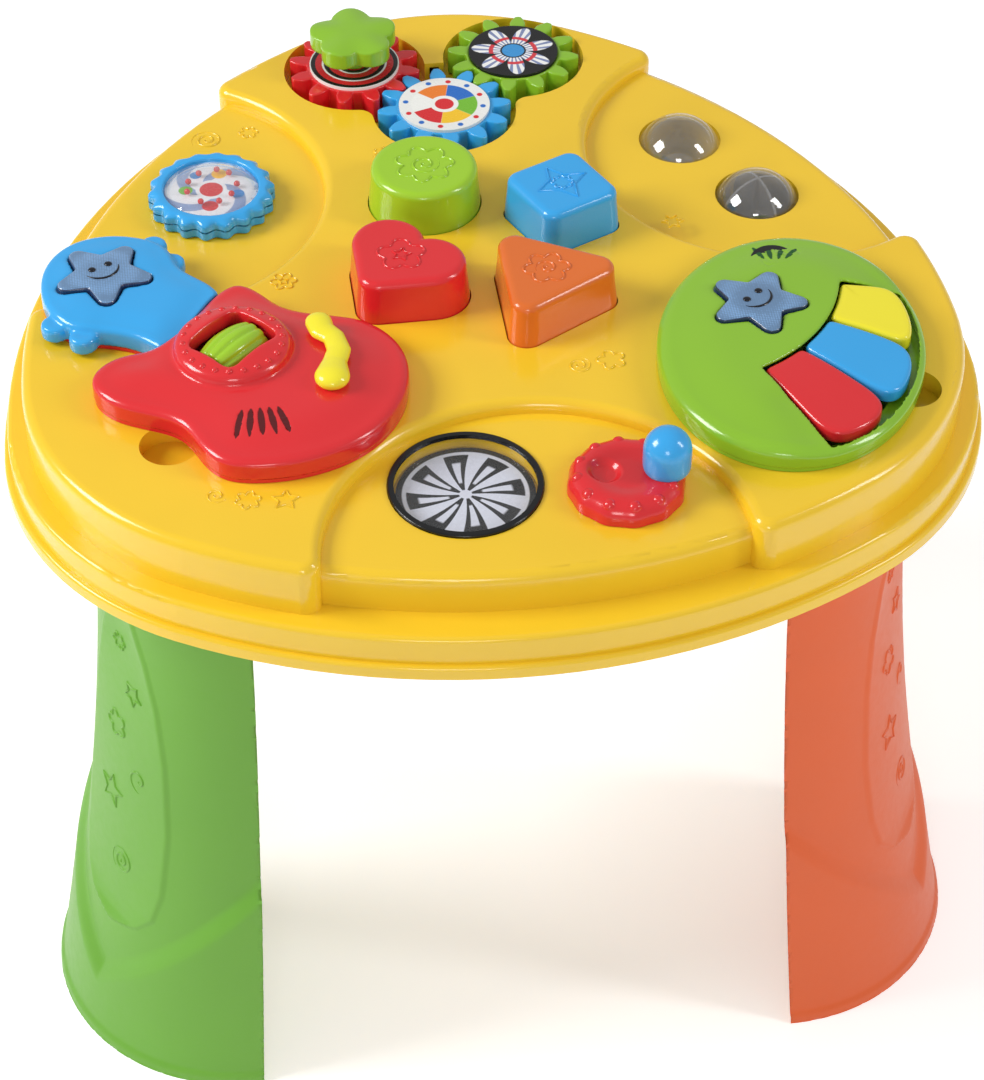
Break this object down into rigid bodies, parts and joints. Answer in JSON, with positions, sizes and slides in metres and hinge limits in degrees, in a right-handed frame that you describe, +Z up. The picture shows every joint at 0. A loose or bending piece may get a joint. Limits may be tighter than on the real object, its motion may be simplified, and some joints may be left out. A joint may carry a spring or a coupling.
{
  "type": "musical activity table",
  "caption": "Rounded triangular toddler play table with lift-off guitar and keyboard toys, meshing gears, shape blocks, spinners and rolling balls on curved legs.",
  "frame": {"origin": "on the floor, midway between the two sides and midway between the front of the table top and the back of the rear foot", "axes": "+Z up, +Y towards the gears at the back, +X towards the keyboard side"},
  "size_m": [0.4811, 0.489, 0.406],
  "materials": {
    "yellow_shell": "smooth glossy moulding",
    "pan_yellow": "satin moulding",
    "blue_shell": "smooth glossy moulding",
    "green_shell": "smooth glossy moulding",
    "orange_shell": "smooth glossy moulding",
    "red_shell": "smooth glossy moulding",
    "lime_shell": "smooth glossy moulding",
    "key_yellow": "smooth glossy moulding",
    "glitter": "translucent with fine glitter",
    "clear": "clear plastic",
    "print_white": "printed card",
    "black_trim": "glossy black",
    "bright_bead": "small bright beads",
    "inner_white": "natural nylon",
    "screw_steel": "zinc plated",
    "board_green": "circuit board",
    "cell_wrap": "wrapped cell",
    "speaker_black": "paper cone in a black frame"
  },
  "bodies": {
    "table": {"deck_shell": "yellow_shell", "base_pan": "pan_yellow", "leg_back": "blue_shell", "leg_left": "green_shell", "leg_right": "orange_shell", "leg_screws": "screw_steel", "case_screws": "screw_steel", "post_screws": "screw_steel", "ball_cups": "inner_white", "spinner_window": "clear", "spinner_bezel": "black_trim", "train_plate": "inner_white"},
    "red_gear_body": {"red_gear": "red_shell", "red_gear_cover": "print_white", "flower_knob": "green_shell"},
    "blue_gear_body": {"blue_gear": "blue_shell", "blue_gear_cover": "print_white"},
    "green_gear_body": {"green_gear": "green_shell", "green_gear_cover": "print_white"},
    "rattle": {"rattle_ring": "blue_shell", "rattle_card": "print_white", "rattle_dome": "clear", "rattle_beads": "bright_bead"},
    "bead_ball": {"bead_ball_shell": "clear", "bead_ball_beads": "bright_bead"},
    "vane_ball": {"vane_ball_shell": "clear", "vane_ball_vanes": "key_yellow"},
    "spinner": {"spinner_disc": "print_white", "spinner_gear": "inner_white"},
    "idler": {"idler_gear": "inner_white"},
    "crank": {"crank_dial": "red_shell", "crank_gear": "inner_white"},
    "knob": {"crank_knob": "blue_shell"},
    "round_block_body": {"round_block": "lime_shell"},
    "square_block_body": {"square_block": "blue_shell"},
    "heart_block_body": {"heart_block": "red_shell"},
    "triangle_block_body": {"triangle_block": "orange_shell"},
    "guitar": {"guitar_back": "red_shell", "guitar_top": "red_shell", "guitar_neck": "blue_shell", "guitar_cells": "cell_wrap", "guitar_door": "red_shell", "guitar_board": "board_green", "guitar_speaker": "speaker_black", "guitar_screws": "screw_steel"},
    "guitar_star_body": {"guitar_star": "glitter"},
    "roller": {"guitar_roller": "lime_shell"},
    "lever": {"guitar_lever": "key_yellow"},
    "piano": {"piano_back": "green_shell", "piano_top": "green_shell", "piano_cells": "cell_wrap", "piano_door": "green_shell", "piano_board": "board_green", "piano_speaker": "speaker_black", "piano_screws": "screw_steel"},
    "piano_star_body": {"piano_star": "glitter"},
    "yellow_key_body": {"yellow_key": "key_yellow"},
    "blue_key_body": {"blue_key": "blue_shell"},
    "red_key_body": {"red_key": "red_shell"}
  },
  "joints": [
    {"name": "red_gear_spin", "type": "hinge", "parent": "table", "child": "red_gear_body", "pos_m": [-0.04307, 0.1721, 0.375], "axis": [0, 0, 1], "continuous": true},
    {"name": "blue_gear_spin", "type": "hinge", "parent": "table", "child": "blue_gear_body", "pos_m": [0, 0.1275, 0.375], "axis": [0, 0, 1], "continuous": true},
    {"name": "green_gear_spin", "type": "hinge", "parent": "table", "child": "green_gear_body", "pos_m": [0.04307, 0.1721, 0.375], "axis": [0, 0, 1], "continuous": true},
    {"name": "rattle_spin", "type": "hinge", "parent": "table", "child": "rattle", "pos_m": [-0.127, 0.0715, 0.378], "axis": [0, 0, 1], "continuous": true},
    {"name": "bead_ball_roll", "type": "hinge", "parent": "table", "child": "bead_ball", "pos_m": [0.1205, 0.0945, 0.3625], "axis": [-0.5, 0.866, 0], "continuous": true},
    {"name": "vane_ball_roll", "type": "hinge", "parent": "table", "child": "vane_ball", "pos_m": [0.151, 0.0415, 0.3625], "axis": [-0.5, 0.866, 0], "continuous": true},
    {"name": "crank_spin", "type": "hinge", "parent": "table", "child": "crank", "pos_m": [0.046, -0.1722, 0.355], "axis": [0, 0, 1], "continuous": true},
    {"name": "idler_spin", "type": "hinge", "parent": "table", "child": "idler", "pos_m": [0.00965, -0.166, 0.355], "axis": [0, 0, 1], "continuous": true},
    {"name": "spinner_spin", "type": "hinge", "parent": "table", "child": "spinner", "pos_m": [-0.0267, -0.1598, 0.355], "axis": [0, 0, 1], "continuous": true},
    {"name": "knob_spin", "type": "hinge", "parent": "crank", "child": "knob", "pos_m": [0.0645, -0.1722, 0.39], "axis": [0, 0, 1], "continuous": true},
    {"name": "round_block_lift", "type": "slide", "parent": "table", "child": "round_block_body", "axis": [0, 0, 1], "range_m": [0, 0.06]},
    {"name": "square_block_lift", "type": "slide", "parent": "table", "child": "square_block_body", "axis": [0, 0, 1], "range_m": [0, 0.06]},
    {"name": "heart_block_lift", "type": "slide", "parent": "table", "child": "heart_block_body", "axis": [0, 0, 1], "range_m": [0, 0.06]},
    {"name": "triangle_block_lift", "type": "slide", "parent": "table", "child": "triangle_block_body", "axis": [0, 0, 1], "range_m": [0, 0.06]},
    {"name": "guitar_lift", "type": "slide", "parent": "table", "child": "guitar", "axis": [0, 0, 1], "range_m": [0, 0.08]},
    {"name": "guitar_star_press", "type": "slide", "parent": "guitar", "child": "guitar_star_body", "axis": [0, 0, -1], "range_m": [0, 0.0018], "stiffness_N_per_m": 600, "springref_m": -0.001},
    {"name": "roller_spin", "type": "hinge", "parent": "guitar", "child": "roller", "pos_m": [-0.126, -0.0765, 0.393], "axis": [0.7314, 0.682, 0], "continuous": true},
    {"name": "lever_swing", "type": "hinge", "parent": "guitar", "child": "lever", "pos_m": [-0.082, -0.107, 0.4], "axis": [0, 0, 1], "range_deg": [-25, 10]},
    {"name": "piano_lift", "type": "slide", "parent": "table", "child": "piano", "axis": [0, 0, 1], "range_m": [0, 0.08]},
    {"name": "piano_star_press", "type": "slide", "parent": "piano", "child": "piano_star_body", "axis": [0, 0, -1], "range_m": [0, 0.0018], "stiffness_N_per_m": 600, "springref_m": -0.001},
    {"name": "yellow_key_press", "type": "hinge", "parent": "piano", "child": "yellow_key_body", "pos_m": [0.16546, -0.07759, 0.386], "axis": [0.3987, 0.9171, 0], "range_deg": [0, 3], "stiffness_Nm_per_rad": 0.6, "springref_deg": -1.15},
    {"name": "blue_key_press", "type": "hinge", "parent": "piano", "child": "blue_key_body", "pos_m": [0.15058, -0.10094, 0.386], "axis": [0.6626, 0.749, 0], "range_deg": [0, 3], "stiffness_Nm_per_rad": 0.6, "springref_deg": -1.15},
    {"name": "red_key_press", "type": "hinge", "parent": "piano", "child": "red_key_body", "pos_m": [0.13054, -0.11776, 0.386], "axis": [0.8526, 0.5225, 0], "range_deg": [0, 3], "stiffness_Nm_per_rad": 0.6, "springref_deg": -1.15}
  ],
  "couplings": [
    {"joint": "blue_gear_spin", "follows": "red_gear_spin", "ratio": -1},
    {"joint": "green_gear_spin", "follows": "red_gear_spin", "ratio": 1},
    {"joint": "idler_spin", "follows": "crank_spin", "ratio": -1},
    {"joint": "spinner_spin", "follows": "crank_spin", "ratio": 1}
  ]
}
